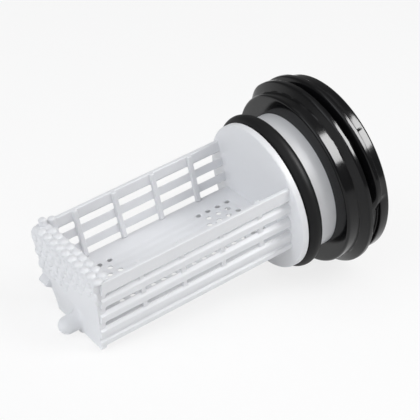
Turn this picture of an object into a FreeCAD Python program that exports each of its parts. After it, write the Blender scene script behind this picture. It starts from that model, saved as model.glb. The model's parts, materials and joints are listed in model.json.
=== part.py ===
import FreeCAD
import Part
import Sketcher
import math
import os

# Washing machine drain pump filter, in millimetres.
# The long axis runs from the strainer's tip (-X) to the screw cap (+X). The origin is the middle of the
# plug's rim on that axis. The part lies as it rests on a table, so the axis rises towards the cap.

doc = FreeCAD.newDocument("drain_pump_filter")
sheet = doc.addObject("Spreadsheet::Sheet", "Sizes")

SIZES = {
    # plug, neck and seal groove, places measured along the long axis
    "rim_cover": 0.85,
    "rim_land": 2.2,
    "groove_width": 5.2,
    "seal_lift": 0.9,
    "seal_thickness": 4.6,
    "seal_ease": 0.05,
    "seal_facets": 8,
    "plug_face_wall": 2.4,
    "neck_wall": 2.2,
    "neck_length": 14.2,
    "bead_height": 0.7,
    "bead_width": 1.6,
    # trough
    "trough_top": 12.1,
    "floor_top": -3.6,
    "floor_wall": 1.6,
    "skirt_bottom": -10.0,
    "trough_half_width": 17.55,
    "wall_lean": 0.1,
    "side_wall": 0.7,
    "slat_proud": 0.75,
    "slat_taper": 0.85,
    "rib_proud": 0.9,
    "slot_length": 11.05,
    "slot_pitch": 13.35,
    "slot_start": -11.2,
    "slot_height": 2.2,
    "slot_row_pitch": 5.15,
    "slot_row_top": 7.85,
    "slot_columns": 5,
    "slot_rows": 3,
    "foot_groove_height": 0.4,
    # floor holes
    "hole_radius": 0.8,
    "hole_pitch": 3.48,
    "hole_row_pitch": 3.09,
    "hole_first": -4.6,
    # end plate with its hollowed corner, locating pin, and the head with its studs
    "plate_place": -62.1,
    "plate_wall": 1.8,
    "plate_lean": 0.148,
    "plate_below": 0.7,
    "hollow_radius": 9.0,
    "hollow_flare": 3.2,
    "hollow_side": 19.5,
    "hollow_drop": -15.0,
    "pin_radius": 2.7,
    "pin_reach": -73.2,
    "pin_shoulder": 1.1,
    "pin_tip_radius": 1.3,
    "pin_root_radius": 4.6,
    "pin_root_place": -68.2,
    "pin_side": -4.0,
    "pin_drop": -7.5,
    "head_top": 12.4,
    "head_start": -60.7,
    "head_face": -66.3,
    "head_edge": 1.1,
    "stud_radius": 1.45,
    "stud_proud": 0.9,
    "stud_pitch": 3.55,
    "stud_first": 14.4,
    "stud_row_step": 2.42,
    "stud_top_row": -64.4,
    "stud_face_row": 10.2,
    "post_radius": 1.2,
    "post_side": 16.9,
    "post_foot": 6.5,
    "outer_post_place": -62.5,
    "outer_post_top": 14.6,
    "inner_post_place": -59.6,
    "inner_post_top": 13.6,
    "lip_place": -68.5,
    "lip_height": -4.1,
    "lip_half_height": 1.5,
    "lip_length": 4.6,
    # screw cap
    "cap_face": 12.3,
    "cap_lip": 3.0,
    "turning_gap": 0.05,
    "end_gap": 0.5,
    "cap_wall": 2.6,
    "cap_room": 3.35,
    "edge_round": 0.8,
    "flange_radius": 28.8,
    "flange_proud": 1.25,
    "flange_start": 23.4,
    "flange_width": 3.4,
    "cap_end_wall": 2.6,
    "dish_rim": 4.2,
    "grip_width": 7.0,
    "grip_end_gap": 5.6,
    "grip_reach": 30.0,
    "thread_proud": 2.75,
    "thread_pitch": 4.3,
    "thread_crest": 1.4,
    "thread_front_slope": 1.5,
    "thread_rear_slope": 0.9,
    "thread_top_place": 16.95,
    "thread_begin": -60.0,
    "thread_sweep": 515.0,
}

# Sizes that follow from others, so that what turns in, covers or carries another piece keeps fitting it
FOLLOWING = {
    "skirt_radius": "=flange_radius - flange_proud",
    "thread_radius": "=skirt_radius + thread_proud",
    "neck_radius": "=skirt_radius - cap_wall - cap_room",
    "seal_middle_radius": "=neck_radius + seal_lift",
    "rim_radius": "=seal_middle_radius + rim_cover",
    "dish_radius": "=flange_radius - dish_rim",
    "grip_half_length": "=dish_radius - grip_end_gap",
}

for row, (name, value) in enumerate({**SIZES, **FOLLOWING}.items(), start=1):
    sheet.set(f"A{row}", name)
    sheet.set(f"B{row}", str(value))
    sheet.setAlias(f"B{row}", name)
doc.recompute()

ALONG_X = FreeCAD.Rotation(FreeCAD.Vector(0, 1, 0), 90)
WEDGE_UP = FreeCAD.Rotation(FreeCAD.Vector(1, 0, 0), 90)
FAR = 60


def size(name):
    return float(sheet.get(name))


def bind(piece, links):
    for path, formula in links.items():
        piece.setExpression(path, str(formula))
    return piece


def disc(name, start, length, radius, side="0", height="0"):
    """A cylinder along the long axis, from start, with its centre at side, height."""
    piece = doc.addObject("Part::Cylinder", name)
    piece.Placement = FreeCAD.Placement(FreeCAD.Vector(), ALONG_X)
    places = {"Placement.Base.x": start, "Placement.Base.y": side, "Placement.Base.z": height}
    return bind(piece, {"Radius": radius, "Height": length, **places})


def revolved(name, points):
    """A closed section turned about the long axis: (place, radius) formulas, radius None on the axis."""
    sketch = doc.addObject("Sketcher::SketchObject", f"{name}_section")
    count = len(points)
    turn = 2 * math.pi / count
    ring = [FreeCAD.Vector(math.cos(turn * index), math.sin(turn * index), 0) for index in range(count)]
    for index in range(count):
        sketch.addGeometry(Part.LineSegment(ring[index], ring[(index + 1) % count]))
    for index, (place, radius) in enumerate(points):
        sketch.addConstraint(Sketcher.Constraint("Coincident", index, 2, (index + 1) % count, 1))
        along = sketch.addConstraint(Sketcher.Constraint("DistanceX", -1, 1, index, 1, 1 + index))
        sketch.setExpression(f"Constraints[{along}]", place)
        if radius is None:
            sketch.addConstraint(Sketcher.Constraint("PointOnObject", index, 1, -1))
        else:
            across = sketch.addConstraint(Sketcher.Constraint("DistanceY", -1, 1, index, 1, 1 + index))
            sketch.setExpression(f"Constraints[{across}]", radius)
    piece = doc.addObject("Part::Revolution", name)
    piece.Source = sketch
    piece.Axis = FreeCAD.Vector(1, 0, 0)
    piece.Angle = 360
    piece.Solid = True
    return piece


def block(name, start, length, low, height, half_width):
    """A box that runs along X from start and spans the part's width, low to low + height."""
    piece = doc.addObject("Part::Box", name)
    links = {"Length": length, "Height": height, "Width": f"2 * ({half_width})"}
    links.update({"Placement.Base.x": start, "Placement.Base.y": f"-({half_width})", "Placement.Base.z": low})
    return bind(piece, links)


def prism(name, low, high, low_x, high_x, low_half, high_half):
    """A tapered block from height low to high; *_x are (start, end) and *_half half widths there."""
    piece = doc.addObject("Part::Wedge", name)
    piece.Placement = FreeCAD.Placement(FreeCAD.Vector(), WEDGE_UP)
    links = {"Ymin": low, "Ymax": high, "Xmin": low_x[0], "Xmax": low_x[1]}
    links.update({"X2min": high_x[0], "X2max": high_x[1]})
    links.update({"Zmin": f"-({low_half})", "Zmax": low_half, "Z2min": f"-({high_half})", "Z2max": high_half})
    return bind(piece, links)


def fuse(name, pieces):
    piece = doc.addObject("Part::MultiFuse", name)
    piece.Shapes = pieces
    piece.Refine = False
    return piece


def cut(name, base, tool):
    piece = doc.addObject("Part::Cut", name)
    piece.Base = base
    piece.Tool = tool
    return piece


S = "Sizes."
RIM_START = f"-{S}rim_land / 2"
GROOVE_START = f"{S}rim_land / 2"
GROOVE_END = f"{S}rim_land / 2 + {S}groove_width"
GROOVE_RADIUS = f"{S}seal_middle_radius - {S}seal_thickness / 2 - {S}seal_ease"
NECK_END = f"{GROOVE_END} + {S}neck_length"
BEAD_START = f"{S}cap_face + {S}cap_lip + {S}end_gap"


def half_width(height, extra="0"):
    """The trough's half width at a height, inside the side wall, plus an extra."""
    return f"{S}trough_half_width - {S}wall_lean * ({S}trough_top - ({height})) + {extra}"


def flared_pair(name, start, length, level, first, height):
    """Cutters for both side walls that widen outward, height high at the inside, from an offset first."""
    middle = f"({S}slot_row_top - {level} * {S}slot_row_pitch)"
    depth = f"({S}side_wall + {S}slat_proud)"
    ends = []
    for offset in (first, f"{depth} + 0.5"):
        ends.append((half_width(middle, offset), f"({height} / 2 + {S}slat_taper * ({offset}) / {depth})"))
    cutters = []
    for side, (near_end, far_end) in (("far", ends), ("near", ends[::-1])):
        sign = "" if side == "far" else "-"
        piece = doc.addObject("Part::Wedge", f"{name}_{side}")
        links = {"Xmin": start, "Xmax": f"{start} + {length}", "X2min": start, "X2max": f"{start} + {length}"}
        links.update({"Ymin": f"{sign}({near_end[0]})", "Ymax": f"{sign}({far_end[0]})"})
        links.update({"Zmin": f"{middle} - {near_end[1]}", "Zmax": f"{middle} + {near_end[1]}"})
        links.update({"Z2min": f"{middle} - {far_end[1]}", "Z2max": f"{middle} + {far_end[1]}"})
        cutters.append(bind(piece, links))
    return cutters


def make_plug():
    """Plug disc with its seal groove, and the hollow neck that the cap turns on."""
    room_start = f"{RIM_START} + {S}plug_face_wall"
    room_radius = f"{GROOVE_RADIUS} - {S}neck_wall"
    return revolved("plug", [
        (RIM_START, None),
        (RIM_START, f"{S}rim_radius"),
        (GROOVE_START, f"{S}rim_radius"),
        (GROOVE_START, GROOVE_RADIUS),
        (GROOVE_END, GROOVE_RADIUS),
        (GROOVE_END, f"{S}neck_radius"),
        (BEAD_START, f"{S}neck_radius"),
        (BEAD_START, f"{S}neck_radius + {S}bead_height"),
        (f"{BEAD_START} + {S}bead_width", f"{S}neck_radius"),
        (NECK_END, f"{S}neck_radius"),
        (NECK_END, room_radius),
        (room_start, room_radius),
        (room_start, None),
    ])


def make_trough():
    """Open trough: two leaning slatted side walls with slots, a perforated floor, ribs inside."""
    start = f"{S}plate_place - 0.5"
    end = f"{RIM_START} + 0.5"
    bottom_run = (f"{plate_face(f'{S}skirt_bottom')} + {S}plate_wall / 2", end)
    top_run = (f"{plate_face(f'{S}trough_top')} + {S}plate_wall / 2", end)
    thin = prism(
        "thin_walls", f"{S}skirt_bottom", f"{S}trough_top", bottom_run, top_run,
        half_width(f"{S}skirt_bottom", f"{S}side_wall"), half_width(f"{S}trough_top", f"{S}side_wall"),
    )
    slat_depth = f"{S}side_wall + {S}slat_proud"
    thick = prism(
        "slat_walls", f"{S}skirt_bottom", f"{S}trough_top", bottom_run, top_run,
        half_width(f"{S}skirt_bottom", slat_depth), half_width(f"{S}trough_top", slat_depth),
    )
    rows = int(size("slot_rows"))
    grooves = []
    for level in range(rows + 1):
        height = f"{S}slot_height" if level < rows else f"{S}foot_groove_height"
        name = f"slat_groove_{level}"
        grooves += flared_pair(name, f"{start} - 5", str(FAR * 2), level, f"{S}side_wall", height)
    slats = cut("slats", thick, fuse("slat_grooves_all", grooves))
    outside = fuse("trough_outside", [thin, slats])

    above = f"{S}trough_top + 2"
    run = (f"{start} - 5", end)
    room = prism(
        "trough_room", f"{S}floor_top", above, run, run,
        half_width(f"{S}floor_top"), half_width(above),
    )
    between_ribs = prism(
        "between_ribs", f"{S}floor_top - 1", f"{above} + 1", run, run,
        half_width(f"{S}floor_top - 1", f"-{S}rib_proud"), half_width(f"{above} + 1", f"-{S}rib_proud"),
    )
    rib_width = f"{S}slot_pitch - {S}slot_length"
    ribs = []
    for column in range(int(size("slot_columns")) - 1):
        rib_start = f"{S}slot_start - {column} * {S}slot_pitch - ({rib_width})"
        ribs.append(block(f"rib_{column}", rib_start, rib_width, f"{S}floor_top - 1", f"{above} + 6", FAR))
    rib_faces = cut("rib_faces", fuse("ribs_all", ribs), between_ribs)
    hollow = cut("trough_hollow", room, rib_faces)
    under_top = f"{S}floor_top - {S}floor_wall"
    under = prism(
        "under_floor", f"{S}skirt_bottom - 1", under_top, run, run,
        half_width(f"{S}skirt_bottom - 1"), half_width(under_top),
    )
    slots = []
    for column in range(int(size("slot_columns"))):
        for level in range(rows):
            slot_start = f"{S}slot_start - {column} * {S}slot_pitch"
            name = f"slot_{column}_{level}"
            slots += flared_pair(name, slot_start, f"{S}slot_length", level, "-1", f"{S}slot_height")
    holes = make_floor_holes()
    return cut("trough", outside, fuse("trough_openings", [hollow, under, *slots, *holes]))


# Floor holes: rows by their distance from the middle line, each with its columns. The two rows beside
# the middle run the whole floor, and the outer rows fill only its two ends.
HOLE_SIDES = 6
HOLE_ROWS = {
    0: range(0, 15),
    1: range(0, 15),
    2: (0, 1, 2, 3, 4, 13, 14),
    3: (0, 1, 2, 3, 13, 14),
}


def make_floor_holes():
    holes = []
    for line, columns in HOLE_ROWS.items():
        for side in ((1, -1) if line else (1,)):
            for column in columns:
                hole = doc.addObject("Part::Prism", f"hole_{line}_{'n' if side < 0 else 'p'}_{column}")
                hole.Polygon = HOLE_SIDES
                stagger = 0.5 * (line % 2)
                links = {"Circumradius": f"{S}hole_radius", "Height": f"{S}floor_wall + 2"}
                links["Placement.Base.x"] = f"{S}hole_first - ({column} + {stagger}) * {S}hole_pitch"
                links["Placement.Base.y"] = f"{side * line} * {S}hole_row_pitch"
                links["Placement.Base.z"] = f"{S}floor_top - {S}floor_wall - 1"
                holes.append(bind(hole, links))
    return holes


def plate_face(height):
    """The place along X of the end plate's outer face at a height."""
    return f"{S}plate_place - {S}plate_wall - {S}plate_lean * ({S}trough_top - ({height}))"


def make_end_plate():
    """Leaning end plate as wide as the slats, its far lower corner scooped out by a cone."""
    low, high = f"{S}skirt_bottom - {S}plate_below", f"{S}trough_top"
    reach = f"{S}side_wall + {S}slat_proud"
    leaning = prism(
        "plate_slab", low, high,
        (plate_face(low), f"{plate_face(low)} + {S}plate_wall"),
        (plate_face(high), f"{plate_face(high)} + {S}plate_wall"),
        half_width(low, reach), half_width(high, reach),
    )
    middle = plate_face(f"{S}hollow_drop + {S}hollow_radius")
    outward = f"3 * {S}hollow_flare"
    hollow = doc.addObject("Part::Cone", "plate_hollow")
    hollow.Placement = FreeCAD.Placement(FreeCAD.Vector(), ALONG_X)
    bind(hollow, {
        "Radius1": f"{S}hollow_radius + {outward}",
        "Radius2": f"{S}hollow_radius",
        "Height": f"3 * {S}plate_wall",
        "Placement.Base.x": f"{middle} - 2 * {S}plate_wall",
        "Placement.Base.y": f"{S}hollow_side",
        "Placement.Base.z": f"{S}hollow_drop",
    })
    through = disc(
        "plate_hollow_through", f"{middle} + {S}plate_wall - 0.5", "4", f"{S}hollow_radius",
        f"{S}hollow_side", f"{S}hollow_drop",
    )
    return cut("end_plate", leaning, fuse("plate_hollow_all", [hollow, through]))


def make_pin():
    """Round locating pin whose nose narrows in two steps, on a conical root."""
    shoulder = f"{S}pin_reach + 2 * {S}pin_shoulder"
    shank = disc(
        "pin_shank", shoulder, f"{plate_face(f'{S}pin_drop')} + {S}plate_wall / 2 - ({shoulder})", f"{S}pin_radius",
        f"{S}pin_side", f"{S}pin_drop",
    )
    root = doc.addObject("Part::Cone", "pin_root")
    root.Placement = FreeCAD.Placement(FreeCAD.Vector(), ALONG_X)
    bind(root, {
        "Radius1": f"{S}pin_radius", "Radius2": f"{S}pin_root_radius",
        "Height": f"{plate_face(f'{S}pin_drop')} + {S}plate_wall / 2 - ({S}pin_root_place)",
        "Placement.Base.x": f"{S}pin_root_place",
        "Placement.Base.y": f"{S}pin_side", "Placement.Base.z": f"{S}pin_drop",
    })
    pieces = [shank, root]
    middle_radius = f"({S}pin_radius + {S}pin_tip_radius) / 2 + {S}pin_shoulder / 4"
    steps = ((f"{S}pin_tip_radius", middle_radius), (middle_radius, f"{S}pin_radius"))
    for step, (outer, inner) in enumerate(steps):
        nose = doc.addObject("Part::Cone", f"pin_nose_{step}")
        nose.Placement = FreeCAD.Placement(FreeCAD.Vector(), ALONG_X)
        bind(nose, {
            "Radius1": outer, "Radius2": inner, "Height": f"{S}pin_shoulder",
            "Placement.Base.x": f"{S}pin_reach + {step} * {S}pin_shoulder",
            "Placement.Base.y": f"{S}pin_side", "Placement.Base.z": f"{S}pin_drop",
        })
        pieces.append(nose)
    return pieces


def make_head():
    """Solid head on the end plate: flat top, upright face, bevelled edge between them."""
    foot = f"{S}trough_top - ({S}plate_place - {S}plate_wall - ({S}head_face)) / {S}plate_lean"
    bevel = f"{S}head_top - {S}head_edge"
    reach = f"{S}side_wall"
    back = f"{S}plate_place - {S}plate_wall / 2"
    lower = prism(
        "head_lower", foot, bevel,
        (f"{S}head_face", f"{S}head_face + 0.5"), (f"{S}head_face", back),
        half_width(foot, reach), half_width(bevel, reach),
    )
    upper = prism(
        "head_upper", bevel, f"{S}head_top",
        (f"{S}head_face", back), (f"{S}head_face + {S}head_edge", back),
        half_width(bevel, reach), half_width(f"{S}head_top", reach),
    )
    brim = prism(
        "head_brim", f"{S}trough_top - 2", f"{S}head_top",
        (back, f"{S}head_start - 1"), (back, f"{S}head_start"),
        half_width(f"{S}trough_top - 2", reach), half_width(f"{S}head_top", reach),
    )
    return [lower, upper, brim]


# Studs on the head's face, row by row from the top, each (number of studs, half pitches it starts
# farther out). The lower rows stop short of the near side.
FACE_ROWS = ((10, 1), (10, 0), (8, 1), (5, 0), (5, 1))
STUD_SIDES = 6
STUD_ROOT = 0.6


def stud(name, along_x, place):
    piece = doc.addObject("Part::Prism", name)
    piece.Polygon = STUD_SIDES
    if along_x:
        piece.Placement = FreeCAD.Placement(FreeCAD.Vector(), ALONG_X)
    axes = ("Placement.Base.x", "Placement.Base.y", "Placement.Base.z")
    height = f"{S}stud_proud + {STUD_ROOT}"
    return bind(piece, {"Circumradius": f"{S}stud_radius", "Height": height, **dict(zip(axes, place))})


def make_studs():
    studs = []
    for number in range(10):
        side = f"{S}stud_first - {number} * {S}stud_pitch"
        top_place = (f"{S}stud_top_row", side, f"{S}head_top - {STUD_ROOT}")
        studs.append(stud(f"stud_top_{number}", False, top_place))
    for number in range(1, 10):
        side = f"{S}stud_first - ({number} - 0.5) * {S}stud_pitch"
        inner_place = (f"{S}stud_top_row + {S}stud_row_step", side, f"{S}head_top - {STUD_ROOT}")
        studs.append(stud(f"stud_inner_{number}", False, inner_place))
    for row, (count, shift) in enumerate(FACE_ROWS):
        height = f"{S}stud_face_row - {row} * {S}stud_row_step"
        for number in range(count):
            side = f"{S}stud_first + ({shift} / 2 - {number}) * {S}stud_pitch"
            face_place = (f"{S}head_face - {S}stud_proud", side, height)
            studs.append(stud(f"stud_{row}_{number}", True, face_place))
    return studs


def make_corner_posts():
    """Two round posts beside the far wall, and the lip over the hollowed corner."""
    posts = []
    for name in ("inner", "outer"):
        post = doc.addObject("Part::Cylinder", f"{name}_post")
        bind(post, {
            "Radius": f"{S}post_radius",
            "Height": f"{S}{name}_post_top - {S}post_foot",
            "Placement.Base.x": f"{S}{name}_post_place",
            "Placement.Base.y": f"{S}post_side",
            "Placement.Base.z": f"{S}post_foot",
        })
        posts.append(post)
    middle, half = f"{S}lip_height", f"{S}lip_half_height"
    ends = (f"{middle} - {half}", middle, f"{middle} + {half}")
    run = [(plate_face(height), f"{plate_face(height)} + {S}plate_wall / 2") for height in ends]
    run[1] = (f"{S}lip_place", run[1][1])
    outer = [half_width(height, f"{S}side_wall") for height in ends]
    near = doc.addObject("Part::Box", "lip_trim")
    bind(near, {
        "Length": "40", "Width": str(FAR), "Height": "20",
        "Placement.Base.x": f"{S}plate_place - 20",
        "Placement.Base.y": f"{outer[1]} - {S}lip_length - {FAR}",
        "Placement.Base.z": f"{middle} - 10",
    })
    lower = prism("lip_lower", ends[0], middle, run[0], run[1], outer[0], outer[1])
    upper = prism("lip_upper", middle, ends[2], run[1], run[2], outer[1], outer[2])
    lip = cut("lip", fuse("lip_whole", [lower, upper]), near)
    return [*posts, lip]


def make_insert():
    pieces = [make_plug(), make_trough(), make_end_plate()]
    pieces += make_pin() + make_head() + make_studs() + make_corner_posts()
    return fuse("strainer_insert", pieces)


def make_seal():
    """Rubber ring of round section, turned from a section of straight facets, in the plug's groove."""
    middle = f"{GROOVE_START} + {S}groove_width / 2"
    facets = int(size("seal_facets"))
    section = []
    for facet in range(facets):
        angle = facet * 360 / facets
        place = f"{middle} + {S}seal_thickness / 2 * cos({angle})"
        radius = f"{S}seal_middle_radius + {S}seal_thickness / 2 * sin({angle})"
        section.append((place, radius))
    return revolved("seal_ring", section)


def make_thread():
    """Coarse right-handed ridge round the cap, swept along a helix."""
    pitch = size("thread_pitch")
    root = size("skirt_radius") - 0.3
    crest = size("thread_radius")
    width = size("thread_crest")
    begin = size("thread_begin")
    start = size("thread_top_place") + pitch * begin / 360
    front = start - size("thread_front_slope") * (crest - root) / (crest - size("skirt_radius"))
    rear = start + width + size("thread_rear_slope") * (crest - root) / (crest - size("skirt_radius"))
    outline = [(root, front - start), (crest, 0), (crest, width), (root, rear - start)]
    corners = [FreeCAD.Vector(radius, 0, place) for radius, place in outline]
    profile = Part.makePolygon(corners + corners[:1])
    path = Part.makeHelix(pitch, pitch * size("thread_sweep") / 360, crest)
    ridge = Part.Wire(path).makePipeShell([profile], True, True)
    # The helix climbs +Z from +X; turn it so that it climbs +X from the top.
    ridge.rotate(FreeCAD.Vector(), FreeCAD.Vector(0, 0, 1), begin)
    ridge.rotate(FreeCAD.Vector(), FreeCAD.Vector(0, 1, 0), 90)
    ridge.rotate(FreeCAD.Vector(), FreeCAD.Vector(1, 0, 0), 180)
    ridge.translate(FreeCAD.Vector(start, 0, 0))
    thread = doc.addObject("Part::Feature", "thread_ridge")
    thread.Shape = ridge
    return thread


def make_cap():
    """Hollow screw cap: ring lip on the neck, skirt with a thread, flange, dished end and grip bar."""
    flange_end = f"{S}flange_start + {S}flange_width"
    bore_radius = f"{S}neck_radius + {S}turning_gap"
    room_start = f"{S}cap_face + {S}cap_lip"
    room_end = f"{NECK_END} + {S}end_gap"
    room_radius = f"{S}skirt_radius - {S}cap_wall"
    dish_floor = f"{room_end} + {S}cap_end_wall"
    shell = revolved("cap_shell", [
        (f"{S}cap_face", bore_radius),
        (f"{S}cap_face", f"{S}skirt_radius - {S}edge_round"),
        (f"{S}cap_face + {S}edge_round", f"{S}skirt_radius"),
        (f"{S}flange_start", f"{S}skirt_radius"),
        (f"{S}flange_start", f"{S}flange_radius"),
        (flange_end, f"{S}flange_radius"),
        (flange_end, f"{S}dish_radius"),
        (dish_floor, f"{S}dish_radius"),
        (dish_floor, None),
        (room_end, None),
        (room_end, room_radius),
        (room_start, room_radius),
        (room_start, bore_radius),
    ])
    grip = block(
        "cap_grip", f"{dish_floor} - 0.5", f"{S}grip_reach - ({dish_floor}) + 0.5",
        f"-{S}grip_width / 2", f"{S}grip_width", f"{S}grip_half_length",
    )
    return fuse("screw_cap", [shell, make_thread(), grip])


def lay_down(piece):
    """Tilt a finished piece about the origin until thread and end plate both touch the table."""
    foot = f"{S}skirt_bottom - {S}plate_below"
    drop = f"{S}thread_radius + {foot}"
    run = f"{S}thread_top_place + {S}thread_pitch / 2 - ({plate_face(foot)})"
    piece.Placement = FreeCAD.Placement(FreeCAD.Vector(), FreeCAD.Rotation(FreeCAD.Vector(0, -1, 0), 10))
    piece.setExpression("Placement.Rotation.Angle", f"atan(({drop}) / ({run}))")
    return piece


pieces = [lay_down(make_insert()), lay_down(make_seal()), lay_down(make_cap())]
doc.recompute()

for item in doc.Objects:
    if "Invalid" in item.State or "Error" in item.State:
        raise RuntimeError(f"{item.Name} failed: {item.State}")
os.makedirs("parts", exist_ok=True)
for piece in pieces:
    if piece.Shape.isNull() or not piece.Shape.isValid():
        raise RuntimeError(f"{piece.Label} has no valid shape")
    piece.Shape.exportStep(os.path.join("parts", f"{piece.Label}.step"))
    box = piece.Shape.BoundBox
    volume = round(piece.Shape.Volume)
    print(piece.Label, "solids", len(piece.Shape.Solids), "volume", volume, "box", box)
print("tilt", round(math.degrees(pieces[0].Placement.Rotation.Angle), 2))
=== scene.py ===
import bpy
import bmesh
import json
import math
from mathutils import Matrix, Vector


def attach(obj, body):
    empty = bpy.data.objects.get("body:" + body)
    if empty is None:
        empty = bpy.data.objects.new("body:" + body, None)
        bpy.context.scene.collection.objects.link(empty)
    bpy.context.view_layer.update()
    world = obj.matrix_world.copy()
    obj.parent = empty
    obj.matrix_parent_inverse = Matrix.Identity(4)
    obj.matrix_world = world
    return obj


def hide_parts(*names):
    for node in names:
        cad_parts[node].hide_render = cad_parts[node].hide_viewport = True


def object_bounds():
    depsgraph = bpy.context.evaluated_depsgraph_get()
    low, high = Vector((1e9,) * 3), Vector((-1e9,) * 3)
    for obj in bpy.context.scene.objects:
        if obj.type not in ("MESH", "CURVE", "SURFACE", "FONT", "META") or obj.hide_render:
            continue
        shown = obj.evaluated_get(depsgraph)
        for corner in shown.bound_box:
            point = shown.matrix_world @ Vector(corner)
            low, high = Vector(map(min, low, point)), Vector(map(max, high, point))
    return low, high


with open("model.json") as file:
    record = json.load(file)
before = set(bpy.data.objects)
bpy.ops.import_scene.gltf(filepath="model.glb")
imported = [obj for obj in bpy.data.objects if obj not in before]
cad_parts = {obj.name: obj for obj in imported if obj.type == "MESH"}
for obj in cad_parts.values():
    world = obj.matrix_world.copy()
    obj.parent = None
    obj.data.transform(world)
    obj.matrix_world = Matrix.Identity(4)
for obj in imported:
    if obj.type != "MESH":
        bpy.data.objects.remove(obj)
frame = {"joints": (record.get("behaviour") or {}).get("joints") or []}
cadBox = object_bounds()

# Pieces are modelled in millimetres along the part's own long axis, +X towards the cap, and then
# laid down by the tilt that the frame's joint axis gives.
turnAxis = Vector(frame["joints"][0]["axis"])
tilt = math.atan2(turnAxis.z, turnAxis.x)
layDown = Matrix.Rotation(-tilt, 4, "Y")
toMetres = layDown @ Matrix.Scale(0.001, 4)

plug = {
    "rim": 23.35, "rimStart": -1.1, "rimEnd": 1.1, "grooveEnd": 6.3, "groove": 20.15, "neck": 21.6,
    "bead": 22.3, "beadStart": 15.8, "beadEnd": 17.4, "neckEnd": 20.5, "room": 17.95, "roomStart": 1.3,
    "faceRound": 0.5, "rimRound": 0.25, "grooveRound": 0.3, "beadRound": 0.2, "roomRound": 0.5, "steps": 192,
}
seal = {"middle": 22.5, "section": 2.3, "place": 3.7, "steps": 192, "ring": 40}
trough = {
    "top": 12.1, "floorTop": -3.6, "bottom": -10.0, "halfWidth": 17.55, "lean": 0.1,
    "wall": 0.7, "slat": 0.75, "rib": 0.9, "start": -63.0, "end": -0.6, "edge": 0.36,
}
# Slots slope down outward, by sill at their lower face and by the row's roof at their upper one
slots = {"length": 11.8, "pitch": 13.35, "start": -11.3, "nearShift": 0.85, "columns": 5, "rows": 3,
         "height": 2.2, "rowPitch": 5.15, "rowTop": 7.85, "sill": -1.15, "roofs": (-1.1, -0.4, -0.4)}
footGroove = {"low": -7.7, "high": -6.9, "sill": -0.6, "roof": 0.4}
holes = {"radius": 0.82, "pitch": 3.5, "first": -4.3, "panel": 0.45, "lap": 0.5, "edge": 0.1, "steps": 24}
# Rows of floor holes: place across, share of a pitch that they are shifted by, and columns
holeRows = (
    (9.05, 0.5, (0, 1, 2, 3, 12, 13)), (5.9, 0, (1, 2, 3, 13, 14)), (2.85, 0.5, (0, 1, 2, 3, 12, 13)),
    (-0.25, 0, (1, 2, 3, 13, 14)), (-3.4, 0.5, range(15)), (-6.6, 0, range(1, 15)), (-9.9, 0.5, range(15)),
)
plate = {"place": -62.1, "wall": 1.8, "lean": 0.148, "bottom": -10.7, "proud": 0.03, "edge": 0.2}
# Scoop of the plate's far lower corner; there the far wall starts wallBack behind the plate's face
hollow = {"radius": 9.0, "flare": 3.2, "side": 19.5, "drop": -15.0, "cutOff": -1, "wallBack": 3.5,
          "steps": 24}
pin = {"radius": 2.7, "reach": -73.2, "side": -4.0, "drop": -7.5, "rootPlace": -68.3, "rootRise": 1.3,
       "sunk": 1.0, "rootSteps": 6, "noseSteps": 10, "steps": 64}
head = {"top": 12.4, "start": -60.7, "face": -66.3, "edge": 1.1, "round": 0.9, "brim": 2.3, "footDepth": 0.5,
        "brimBack": 1, "softEdge": 0.35}
# Domed studs: radius at the foot, height, and rows by their number of studs and half pitches of shift
studs = {"radius": 1.5, "proud": 0.65, "pitch": 3.55, "first": 14.4, "rowStep": 2.42, "topRow": -64.4,
         "faceRow": 10.2, "faceRows": ((10, 1), (10, 0), (8, 1), (5, 0), (5, 1)), "topCount": 10, "sunk": 0.5,
         "domeSteps": 7, "steps": 24}
posts = {"radius": 1.2, "side": 16.9, "foot": 6.5, "places": ((-62.5, 14.6), (-59.6, 13.6)), "round": 0.5,
         "steps": 32}
lip = {"place": -68.5, "height": -4.1, "half": 1.5, "length": 4.6, "depth": 0.9, "round": 0.5, "edge": 0.3}
cap = {
    "face": 12.3, "lip": 3.0, "bore": 21.65, "skirt": 27.55, "wall": 2.6, "flange": 28.8,
    "flangeStart": 23.4, "flangeEnd": 26.8, "dish": 24.6, "dishFloor": 23.6, "roomEnd": 21.0,
    "gripReach": 30.0, "gripWidth": 7.0, "gripHalf": 19.0, "gripRound": 1.2, "gripSunk": 0.5,
    "faceRound": 0.8, "rimRound": 0.8, "dishRound": 0.8, "stepRound": 0.35, "innerRound": 0.5,
    "cornerRound": 0.3, "boreRound": 0.2, "steps": 360, "along": 0.16,
}
thread = {"crest": 30.3, "pitch": 4.3, "width": 1.4, "frontSlope": 1.5, "rearSlope": 0.9,
          "topPlace": 16.95, "begin": -60.0, "sweep": 515.0, "fade": 22.0, "soft": 0.16,
          "belowSkirt": 1, "faceClear": 0.5}
# Edges are drawn sharp from these angles on, in degrees
sharpFrom = {"plug": 35, "flat": 40, "cap": 40, "turned": 50, "seal": 60}
# Lights by azimuth from +Y towards +X, elevation and distance in metres
lights = {
    "softbox": {"from": (143, 50, 0.6), "size": (0.25, 0.36), "power": 1.6, "color": (1, 1, 1)},
    "tip_fill": {"from": (262, 28, 1.0), "size": (1.0, 0.8), "power": 4.6, "color": (0.94, 0.97, 1)},
    "top_fill": {"from": (275, 76, 1.1), "size": (1.2, 1.2), "power": 2.3, "color": (0.98, 0.99, 1)},
}
# What the softbox adds to mirror reflections alone
glint = {"power": 6.4, "behind": 0.03}
worldStrength = 0.28
# Share of the plain white backdrop in what camera and mirror rays see of the table
backdropShare = 0.8
camera = {
    "place": (-177.2, -292.5, 230.5), "right": (0.82215, -0.55336, -0.13368),
    "down": (-0.40842, -0.40977, -0.81565), "focalPixels": 1370.9, "imagePixels": 420,
}


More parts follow.
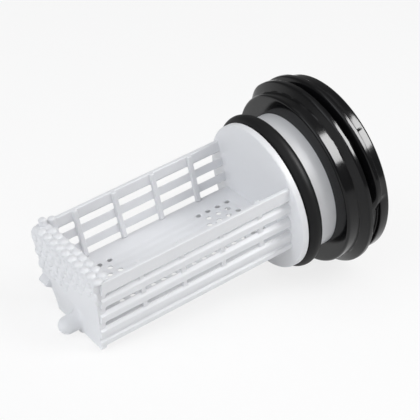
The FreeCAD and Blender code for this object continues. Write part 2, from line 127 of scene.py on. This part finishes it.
def newObject(name, bm, smoothAngle=None):
    mesh = bpy.data.meshes.new(name)
    bmesh.ops.recalc_face_normals(bm, faces=bm.faces)
    bm.to_mesh(mesh)
    bm.free()
    piece = bpy.data.objects.new(name, mesh)
    bpy.context.scene.collection.objects.link(piece)
    if smoothAngle:
        mesh.shade_smooth()
        mesh.set_sharp_from_angle(angle=math.radians(smoothAngle))
    return piece


# Corners of an outline, each (x, y, fillet radius), as points with the fillets turned into arcs.
def filleted(corners, steps=5, closed=False):
    points = []
    count = len(corners)
    for index, (x, y, radius) in enumerate(corners):
        here = Vector((x, y))
        if not radius or (not closed and index in (0, count - 1)):
            points.append(here)
            continue
        back = Vector(corners[index - 1][:2]) - here
        ahead = Vector(corners[(index + 1) % count][:2]) - here
        half = back.angle(ahead) / 2
        reach = radius / math.tan(half)
        start = here + back.normalized() * reach
        middle = here + (back.normalized() + ahead.normalized()).normalized() * radius / math.sin(half)
        end = here + ahead.normalized() * reach
        for step in range(steps + 1):
            share = step / steps
            spoke = (start - middle).slerp(end - middle, share, (start - middle).lerp(end - middle, share))
            points.append(middle + spoke.normalized() * radius)
    return points


def divided(points, longest):
    dense = [points[0]]
    for a, b in zip(points, points[1:]):
        pieces = max(1, math.ceil((b - a).length / longest))
        dense += [a.lerp(b, step / pieces) for step in range(1, pieces + 1)]
    return dense


# A section of (place, radius) points turned about the long axis. swell(place, radius, angle) may
# change a radius; the angle is counted from the top towards the near side.
def lathe(bm, points, steps, swell=None):
    rings = []
    for place, radius in points:
        if radius < 1e-6:
            rings.append([bm.verts.new((place, 0, 0))])
            continue
        ring = []
        for step in range(steps):
            angle = 2 * math.pi * step / steps
            here = swell(place, radius, math.degrees(angle)) if swell else radius
            ring.append(bm.verts.new((place, -here * math.sin(angle), here * math.cos(angle))))
        rings.append(ring)
    for a, b in zip(rings, rings[1:]):
        for step in range(steps):
            after = (step + 1) % steps
            if len(a) == 1 and len(b) == 1:
                continue
            if len(a) == 1:
                bm.faces.new((a[0], b[step], b[after]))
            elif len(b) == 1:
                bm.faces.new((a[step], b[0], a[after]))
            else:
                bm.faces.new((a[step], b[step], b[after], a[after]))
    return rings


def closeRings(bm, rings, steps):
    first, last = rings[0], rings[-1]
    for step in range(steps):
        after = (step + 1) % steps
        bm.faces.new((last[step], first[step], first[after], last[after]))


# Plug disc, seal groove and hollow neck
def makePlug():
    section = [
        (plug["rimStart"], 0, 0), (plug["rimStart"], plug["rim"], plug["faceRound"]),
        (plug["rimEnd"], plug["rim"], plug["rimRound"]),
        (plug["rimEnd"], plug["groove"], plug["grooveRound"]),
        (plug["grooveEnd"], plug["groove"], plug["grooveRound"]),
        (plug["grooveEnd"], plug["neck"], plug["grooveRound"]), (plug["beadStart"], plug["neck"], 0),
        (plug["beadStart"], plug["bead"], plug["beadRound"]), (plug["beadEnd"], plug["neck"], 0),
        (plug["neckEnd"], plug["neck"], plug["grooveRound"]),
        (plug["neckEnd"], plug["room"], plug["grooveRound"]),
        (plug["roomStart"], plug["room"], plug["roomRound"]), (plug["roomStart"], 0, 0),
    ]
    bm = bmesh.new()
    lathe(bm, filleted(section), plug["steps"])
    return newObject("plug", bm, sharpFrom["plug"])


def halfWidth(height):
    return trough["halfWidth"] - trough["lean"] * (trough["top"] - height)


def plateFace(height):
    return plate["place"] - plate["wall"] - plate["lean"] * (trough["top"] - height)


def slotRange(column, side):
    start = slots["start"] - column * slots["pitch"] + (slots["nearShift"] if side < 0 else 0)
    return max(start, trough["start"]), min(start + slots["length"], trough["end"])


def grooveRange(level):
    if level == slots["rows"]:
        return footGroove["low"], footGroove["high"]
    middle = slots["rowTop"] - level * slots["rowPitch"]
    return middle - slots["height"] / 2, middle + slots["height"] / 2


# How far a groove's lower and upper faces move up by the outside of the slats
def grooveSlopes(level):
    if level == slots["rows"]:
        return footGroove["sill"], footGroove["roof"]
    return slots["sill"], slots["roofs"][level]


# One leaning side wall as filled cells between lines along X, Z and through the wall
def makeWall(side):
    slotSpans = [slotRange(column, side) for column in range(slots["columns"])]
    grooveSpans = [grooveRange(level) for level in range(slots["rows"] + 1)]
    xLines = sorted({trough["start"], trough["end"], *(x for span in slotSpans for x in span)})
    zLines = sorted({trough["bottom"], trough["top"], *(z for span in grooveSpans for z in span)})
    yLines = [-trough["rib"], 0, trough["wall"], trough["wall"] + trough["slat"]]
    ribFoot = grooveSpans[slots["rows"] - 1][0]
    slopes = {}
    for level, (low, high) in enumerate(grooveSpans):
        slopes[low], slopes[high] = grooveSlopes(level)

    def filled(i, j, k):
        if not (0 <= i < len(xLines) - 1 and 0 <= j < len(zLines) - 1 and 0 <= k < len(yLines) - 1):
            return False
        x = (xLines[i] + xLines[i + 1]) / 2
        z = (zLines[j] + zLines[j + 1]) / 2
        inSlotColumn = any(low < x < high for low, high in slotSpans)
        level = next((n for n, (low, high) in enumerate(grooveSpans) if low < z < high), None)
        if k == 0:
            return not inSlotColumn and z > ribFoot
        if k == 1:
            return not (inSlotColumn and level is not None and level < slots["rows"])
        return level is None

    bm = bmesh.new()
    corners = {}

    def corner(i, j, k):
        if (i, j, k) not in corners:
            z = zLines[j] + slopes.get(zLines[j], 0) * max(0, yLines[k]) / yLines[-1]
            scooped = side > 0 and zLines[j] < hollow["cutOff"]
            x = xLines[i] if i else plateFace(z) + (hollow["wallBack"] if scooped else plate["edge"])
            corners[i, j, k] = bm.verts.new((x, side * (halfWidth(z) + yLines[k]), z))
        return corners[i, j, k]

    for i in range(len(xLines) - 1):
        for j in range(len(zLines) - 1):
            for k in range(len(yLines) - 1):
                if not filled(i, j, k):
                    continue
                for step, axis in ((s, a) for a in range(3) for s in (-1, 1)):
                    beside = [i, j, k]
                    beside[axis] += step
                    if filled(*beside):
                        continue
                    fixed = beside[axis] if step == 1 else (i, j, k)[axis]
                    loop = []
                    for first, second in ((0, 0), (1, 0), (1, 1), (0, 1)):
                        at = [i + first, j + first, k + first]
                        at[(axis + 2) % 3] = (i, j, k)[(axis + 2) % 3] + second
                        at[axis] = fixed
                        loop.append(corner(*at))
                    bm.faces.new(loop)
    bmesh.ops.dissolve_limit(bm, angle_limit=0.001, verts=bm.verts, edges=bm.edges)
    return newObject("wall_far" if side > 0 else "wall_near", bm)


def bevelled(piece, width, segments=3):
    bevel = piece.modifiers.new("soft_edges", "BEVEL")
    bevel.width = width
    bevel.segments = segments
    bevel.limit_method = "ANGLE"
    bevel.angle_limit = math.radians(40)
    bevel.harden_normals = True
    for polygon in piece.data.polygons:
        polygon.use_smooth = True
    return piece


# A flat outline with holes, filled and thickened with rounded edges; place(x, y, depth) puts it in space
def flatPiece(name, outlines, thickness, edge, place):
    curve = bpy.data.curves.new(name, "CURVE")
    curve.dimensions = "2D"
    curve.fill_mode = "BOTH"
    curve.extrude = thickness / 2 - edge
    curve.bevel_depth = edge
    curve.bevel_resolution = 2
    curve.offset = -edge
    for points in outlines:
        spline = curve.splines.new("POLY")
        spline.points.add(len(points) - 1)
        for point, (x, y) in zip(spline.points, points):
            point.co = (x, y, 0, 1)
        spline.use_cyclic_u = True
    holder = bpy.data.objects.new(name, curve)
    bpy.context.scene.collection.objects.link(holder)
    mesh = bpy.data.meshes.new_from_object(holder.evaluated_get(bpy.context.evaluated_depsgraph_get()))
    bpy.data.objects.remove(holder)
    bm = bmesh.new()
    bm.from_mesh(mesh)
    bmesh.ops.remove_doubles(bm, verts=bm.verts, dist=1e-5)
    for vert in bm.verts:
        vert.co = place(*vert.co)
    return newObject(name, bm, sharpFrom["flat"])


def circlePoints(x, y, radius, count):
    turn = 2 * math.pi / count
    return [(x + radius * math.cos(turn * n), y + radius * math.sin(turn * n)) for n in range(count)]


# Floor with its rows of holes
def makeFloor():
    middle = trough["floorTop"] - holes["panel"] / 2
    half = halfWidth(middle) + holes["lap"]
    start, end = plateFace(middle) + plate["wall"] / 2, trough["end"]
    outlines = [[(start, -half), (end, -half), (end, half), (start, half)]]
    for y, shift, columns in holeRows:
        for column in columns:
            x = holes["first"] - (column + shift) * holes["pitch"]
            outlines.append(circlePoints(x, y, holes["radius"], holes["steps"]))
    return flatPiece("floor_panel", outlines, holes["panel"], holes["edge"],
                     lambda x, y, depth: (x, y, middle + depth))


# Outline of the end plate as (y, z) points: the grooves run out through its sides, and an arc scoops out
# its far lower corner
def plateOutline(radius):
    web, outside = trough["wall"] + plate["proud"], trough["wall"] + trough["slat"] + plate["proud"]
    share = trough["wall"] / (trough["wall"] + trough["slat"])
    profile = [(halfWidth(trough["top"]) + outside, trough["top"])]
    for level in range(slots["rows"] + 1):
        low, high = grooveRange(level)
        lowRise, highRise = grooveSlopes(level)
        for z, reach in ((high + highRise, outside), (high + share * highRise, web),
                         (low + share * lowRise, web), (low + lowRise, outside)):
            profile.append((halfWidth(z) + reach, z))
    profile.append((halfWidth(plate["bottom"]) + outside, plate["bottom"]))
    side, drop = hollow["side"], hollow["drop"]
    first = math.acos((plate["bottom"] - drop) / radius)
    last = math.asin((side - halfWidth(drop + radius) - outside) / radius)
    arc = []
    for step in range(hollow["steps"] + 1):
        angle = first + (last - first) * step / hollow["steps"]
        arc.append((side - radius * math.sin(angle), drop + radius * math.cos(angle)))
    farSide = [point for point in profile if point[1] > hollow["cutOff"]]
    return [*((-y, z) for y, z in profile), *arc, *farSide[::-1]]


def makePlate():
    bm = bmesh.new()
    outer = [bm.verts.new((plateFace(z), y, z)) for y, z in plateOutline(hollow["radius"] + hollow["flare"])]
    inner = [bm.verts.new((plateFace(z) + plate["wall"], y, z)) for y, z in plateOutline(hollow["radius"])]
    bm.faces.new(outer)
    bm.faces.new(inner[::-1])
    for n, vert in enumerate(outer):
        bm.faces.new((vert, inner[n], inner[n - 1], outer[n - 1]))
    return bevelled(newObject("end_plate", bm), plate["edge"])


# A closed outline of (x, z) points run across the part, as wide as halfAt(z) allows
def acrossSolid(name, points, halfAt, edge, nearSide=None):
    bm = bmesh.new()
    rows = []
    for side in (-1, 1):
        rows.append([bm.verts.new((x, side * halfAt(z) if side > 0 or nearSide is None else nearSide, z))
                     for x, z in points])
    count = len(points)
    for n in range(count):
        after = (n + 1) % count
        bm.faces.new((rows[0][n], rows[0][after], rows[1][after], rows[1][n]))
    bm.faces.new(rows[0])
    bm.faces.new(rows[1][::-1])
    return bevelled(newObject(name, bm), edge)


# Head: the solid block that carries the studs on top of the end plate
def makeHead():
    back = plate["place"] - plate["wall"] / 2
    foot = trough["top"] - (plate["place"] - plate["wall"] - head["face"]) / plate["lean"]
    top, face, edge, brim = head["top"], head["face"], head["edge"], head["top"] - head["brim"]
    corners = [
        (head["start"], top, 0), (face + edge, top, head["round"]), (face, top - edge, head["round"]),
        (face, foot, 0), (face + head["footDepth"], foot, 0), (back, brim, 0),
        (head["start"] - head["brimBack"], brim, 0),
    ]
    points = [tuple(point) for point in filleted(corners, closed=True)]
    return acrossSolid("head", points, lambda z: halfWidth(z) + trough["wall"], head["softEdge"])


# A lip that stands out over the scooped corner
def makeLip():
    low, high = lip["height"] - lip["half"], lip["height"] + lip["half"]
    corners = [
        (plateFace(high), high, 0), (lip["place"], lip["height"], lip["round"]), (plateFace(low), low, 0),
        (plateFace(low) + lip["depth"], low, 0), (plateFace(high) + lip["depth"], high, 0),
    ]
    points = [tuple(point) for point in filleted(corners, closed=True)]
    nearSide = halfWidth(lip["height"]) + trough["wall"] - lip["length"]
    return acrossSolid("lip", points, lambda z: halfWidth(z) + trough["wall"], lip["edge"], nearSide)


# A section of (height, radius) points turned about the line from foot along a direction
def turned(bm, section, foot, along, steps):
    turn = Vector((1, 0, 0)).rotation_difference(along).to_matrix().to_4x4()
    before = len(bm.verts)
    lathe(bm, section, steps)
    bm.verts.ensure_lookup_table()
    bmesh.ops.transform(bm, matrix=Matrix.Translation(foot) @ turn, verts=bm.verts[before:])


def makeStuds():
    radius, proud = studs["radius"], studs["proud"]
    ball = (radius * radius + proud * proud) / (2 * proud)
    widest = math.asin(radius / ball)
    dome = [(proud - ball + ball * math.cos(a), ball * math.sin(a))
            for a in (widest * n / studs["domeSteps"] for n in range(studs["domeSteps"], 0, -1))]
    section = [(-studs["sunk"], radius), *dome, (proud, 0)]
    up, outward = Vector((0, 0, 1)), Vector((-1, 0, 0))
    bm = bmesh.new()
    for number in range(studs["topCount"]):
        y = studs["first"] - number * studs["pitch"]
        turned(bm, section, Vector((studs["topRow"], y, head["top"])), up, studs["steps"])
    for number in range(1, studs["topCount"]):
        y = studs["first"] - (number - 0.5) * studs["pitch"]
        turned(bm, section, Vector((studs["topRow"] + studs["rowStep"], y, head["top"])), up, studs["steps"])
    for row, (count, shift) in enumerate(studs["faceRows"]):
        z = studs["faceRow"] - row * studs["rowStep"]
        for number in range(count):
            y = studs["first"] + (shift / 2 - number) * studs["pitch"]
            turned(bm, section, Vector((head["face"], y, z)), outward, studs["steps"])
    return newObject("studs", bm, sharpFrom["turned"])


def makePosts():
    bm = bmesh.new()
    for x, top in posts["places"]:
        section = filleted([(0, posts["radius"], 0), (top - posts["foot"], posts["radius"], posts["round"]),
                            (top - posts["foot"], 0, 0)])
        turned(bm, section, Vector((x, posts["side"], posts["foot"])), Vector((0, 0, 1)), posts["steps"])
    return newObject("posts", bm, sharpFrom["turned"])


# Locating pin: round nose, and a concave blend into the plate
def makePin():
    radius, rise = pin["radius"], pin["rootRise"]
    foot = Vector((plateFace(pin["drop"]), pin["side"], pin["drop"]))
    length = foot.x - pin["reach"]
    root = foot.x - pin["rootPlace"]
    blend = [(root * (1 - math.cos(a)), radius + rise * (1 - math.sin(a)))
             for a in (math.radians(90 * n / pin["rootSteps"]) for n in range(pin["rootSteps"] + 1))]
    nose = [(length - radius + radius * math.sin(a), radius * math.cos(a))
            for a in (math.radians(90 * n / pin["noseSteps"]) for n in range(pin["noseSteps"]))]
    bm = bmesh.new()
    section = [(-pin["sunk"], radius + rise), *blend, *nose, (length, 0)]
    turned(bm, section, foot, Vector((-1, 0, 0)), pin["steps"])
    # The root leans with the plate, and its lean fades out by the straight part
    for vert in bm.verts:
        share = min(1, max(0, 1 - (foot.x - vert.co.x) / root))
        vert.co.x += plate["lean"] * (vert.co.z - foot.z) * share
    return newObject("pin", bm, sharpFrom["turned"])


def ridgeHeight(offset):
    rise = thread["crest"] - cap["skirt"]
    front = rise * (offset + thread["frontSlope"]) / thread["frontSlope"]
    rear = rise * (thread["width"] + thread["rearSlope"] - offset) / thread["rearSlope"]
    lowest = min(front, rear, rise)
    spread = sum(math.exp((lowest - side) / thread["soft"]) for side in (front, rear, rise))
    return lowest - thread["soft"] * math.log(spread)


def threadedRadius(place, radius, angle):
    best = radius
    if radius < cap["skirt"] - thread["belowSkirt"] or place < cap["face"] + thread["faceClear"]:
        return best
    last = thread["begin"] + thread["sweep"]
    for turns in (-1, 0, 1):
        around = angle + 360 * turns
        if not thread["begin"] <= around <= last:
            continue
        offset = place - thread["topPlace"] - thread["pitch"] * around / 360
        fade = min(1, (around - thread["begin"]) / thread["fade"], (last - around) / thread["fade"])
        height = ridgeHeight(offset) * math.sin(fade * math.pi / 2)
        best = max(best, cap["skirt"] + height)
    return best


# Screw cap: one lathed section whose skirt swells into the helical thread
def makeCap():
    room = cap["skirt"] - cap["wall"]
    section = [
        (cap["dishFloor"], 0, 0), (cap["dishFloor"], cap["dish"], cap["dishRound"]),
        (cap["flangeEnd"], cap["dish"], cap["innerRound"]),
        (cap["flangeEnd"], cap["flange"], cap["rimRound"]),
        (cap["flangeStart"], cap["flange"], cap["stepRound"]),
        (cap["flangeStart"], cap["skirt"], cap["cornerRound"]), (cap["face"], cap["skirt"], cap["faceRound"]),
        (cap["face"], cap["bore"], cap["boreRound"]),
        (cap["face"] + cap["lip"], cap["bore"], cap["boreRound"]),
        (cap["face"] + cap["lip"], room, cap["cornerRound"]), (cap["roomEnd"], room, cap["innerRound"]),
        (cap["roomEnd"], 0, 0),
    ]
    points = filleted(section)
    # The skirt's straight run is divided finely, so that the thread can swell out of it
    first, last = [n for n, point in enumerate(points) if abs(point.y - cap["skirt"]) < 0.01]
    dense = points[:first] + divided(points[first:last + 1], cap["along"]) + points[last + 1:]
    bm = bmesh.new()
    lathe(bm, dense, cap["steps"], threadedRadius)
    body = newObject("cap_body", bm, sharpFrom["cap"])
    return [body, makeGrip()]


def makeGrip():
    bm = bmesh.new()
    bmesh.ops.create_cube(bm, size=1)
    start, end = cap["dishFloor"] - cap["gripSunk"], cap["gripReach"]
    for vert in bm.verts:
        x, y, z = vert.co
        vert.co = (start + (x + 0.5) * (end - start), y * 2 * cap["gripHalf"], z * cap["gripWidth"])
    return bevelled(newObject("grip", bm), cap["gripRound"], 4)


def makeSeal():
    section = circlePoints(seal["place"], seal["middle"], seal["section"], seal["ring"])
    bm = bmesh.new()
    rings = lathe(bm, section, seal["steps"])
    closeRings(bm, rings, seal["steps"])
    return newObject("seal", bm, sharpFrom["seal"])


def joined(name, parts, material):
    depsgraph = bpy.context.evaluated_depsgraph_get()
    for part in parts:
        mesh = bpy.data.meshes.new_from_object(part.evaluated_get(depsgraph))
        part.modifiers.clear()
        part.data = mesh
    bpy.ops.object.select_all(action="DESELECT")
    for part in parts:
        part.select_set(True)
    bpy.context.view_layer.objects.active = parts[0]
    if len(parts) > 1:
        bpy.ops.object.join()
    piece = bpy.context.view_layer.objects.active
    piece.name = name
    piece.data.name = name
    piece.data.transform(toMetres)
    piece.data.materials.clear()
    piece.data.materials.append(material)
    return piece


def setInput(shader, values):
    for name, value in values.items():
        shader.inputs[name].default_value = value


# Each material has a fine grain: a bump from noise
def makePlastic(name, values, bumpScale, bumpStrength, bumpDistance=0.0001):
    material = bpy.data.materials.new(name)
    material.use_nodes = True
    nodes, links = material.node_tree.nodes, material.node_tree.links
    shader = nodes["Principled BSDF"]
    setInput(shader, values)
    coords = nodes.new("ShaderNodeTexCoord")
    noise = nodes.new("ShaderNodeTexNoise")
    setInput(noise, {"Scale": bumpScale, "Detail": 3.0})
    bump = nodes.new("ShaderNodeBump")
    setInput(bump, {"Strength": bumpStrength, "Distance": bumpDistance})
    links.new(coords.outputs["Object"], noise.inputs["Vector"])
    links.new(noise.outputs["Fac"], bump.inputs["Height"])
    links.new(bump.outputs["Normal"], shader.inputs["Normal"])
    return material


whitePlastic = makePlastic("white_plastic", {
    "Base Color": (0.8, 0.805, 0.825, 1), "Roughness": 0.5, "IOR": 1.49,
}, bumpScale=900, bumpStrength=0.12)
blackRubber = makePlastic("black_rubber", {
    "Base Color": (0.009, 0.009, 0.0095, 1), "Roughness": 0.5, "IOR": 1.5, "Specular IOR Level": 0.15,
}, bumpScale=1500, bumpStrength=0.25)
blackPlastic = makePlastic("black_plastic", {
    "Base Color": (0.0035, 0.0035, 0.004, 1), "Roughness": 0.15, "IOR": 1.5, "Specular IOR Level": 0.26,
}, bumpScale=500, bumpStrength=0.03)

insertParts = [makePlug(), bevelled(makeWall(1), trough["edge"]), bevelled(makeWall(-1), trough["edge"]),
               makeFloor(), makePlate(), makeHead(), makeLip(), makeStuds(), makePosts(), makePin()]
insert = joined("strainer_insert_skin", insertParts, whitePlastic)
print("insert", len(insert.data.polygons))
ring = joined("seal_ring_skin", [makeSeal()], blackRubber)
capSkin = joined("screw_cap_skin", makeCap(), blackPlastic)
print("cap", len(capSkin.data.polygons))
for piece, body, node, slot in (
    (insert, "insert", "strainer_insert", "white_plastic"),
    (ring, "insert", "seal_ring", "black_rubber"),
    (capSkin, "cap", "screw_cap", "black_plastic"),
):
    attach(piece, body)
    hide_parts(node)


def makeFloorPlane():
    lowest = cadBox[0][2]
    bpy.ops.mesh.primitive_plane_add(size=6, location=(0, 0, lowest))
    floor = bpy.context.object
    floor.name = "table"
    material = bpy.data.materials.new("pale_table")
    material.use_nodes = True
    nodes, links = material.node_tree.nodes, material.node_tree.links
    shader = nodes["Principled BSDF"]
    setInput(shader, {"Base Color": (0.95, 0.95, 0.95, 1), "Roughness": 0.6})
    rays = nodes.new("ShaderNodeLightPath")
    seen = rays.outputs["Is Camera Ray"]
    for other in ("Is Glossy Ray", "Is Transmission Ray"):
        either = nodes.new("ShaderNodeMath")
        either.operation = "MAXIMUM"
        links.new(seen, either.inputs[0])
        links.new(rays.outputs[other], either.inputs[1])
        seen = either.outputs[0]
    share = nodes.new("ShaderNodeMath")
    share.operation = "MULTIPLY"
    share.inputs[1].default_value = backdropShare
    white = nodes.new("ShaderNodeEmission")
    mix = nodes.new("ShaderNodeMixShader")
    links.new(seen, share.inputs[0])
    links.new(share.outputs[0], mix.inputs[0])
    links.new(shader.outputs[0], mix.inputs[1])
    links.new(white.outputs[0], mix.inputs[2])
    links.new(mix.outputs[0], nodes["Material Output"].inputs["Surface"])
    floor.data.materials.append(material)


def addLight(name, place, target, size, power, color=(1, 1, 1)):
    light = bpy.data.lights.new(name, "AREA")
    light.shape = "RECTANGLE"
    light.size, light.size_y = size
    light.energy = power
    light.color = color
    holder = bpy.data.objects.new(name, light)
    holder.location = place
    holder.rotation_euler = (Vector(target) - Vector(place)).to_track_quat("-Z", "Y").to_euler()
    bpy.context.scene.collection.objects.link(holder)
    return holder


def makeCamera():
    right = layDown @ Vector(camera["right"])
    down = layDown @ Vector(camera["down"])
    ahead = right.cross(down)
    holder = bpy.data.objects.new("camera", bpy.data.cameras.new("camera"))
    holder.data.sensor_width = 36
    holder.data.lens = 36 * camera["focalPixels"] / camera["imagePixels"]
    place = toMetres @ Vector(camera["place"])
    turn = Matrix((right, -down, -ahead)).transposed().to_4x4()
    holder.matrix_world = Matrix.Translation(place) @ turn
    bpy.context.scene.collection.objects.link(holder)
    bpy.context.scene.camera = holder


def fromAbove(azimuth, elevation, distance):
    flat = distance * math.cos(math.radians(elevation))
    turn = math.radians(azimuth)
    return (flat * math.sin(turn), flat * math.cos(turn), distance * math.sin(math.radians(elevation)))


makeFloorPlane()
makeCamera()
for name, light in lights.items():
    target = (0.0, 0.0, 0.0)
    addLight(name, fromAbove(*light["from"]), target, light["size"], light["power"], light["color"])
softbox = lights["softbox"]
azimuth, elevation, distance = softbox["from"]
glintPlace = fromAbove(azimuth, elevation, distance + glint["behind"])
glintLamp = addLight("glint", glintPlace, (0, 0, 0), softbox["size"], glint["power"])
glintLamp.visible_diffuse = False
world = bpy.data.worlds.new("studio")
bpy.context.scene.world = world
world.use_nodes = True
setInput(world.node_tree.nodes["Background"], {"Color": (1, 1, 1, 1), "Strength": worldStrength})
bpy.context.scene.view_settings.view_transform = "Standard"
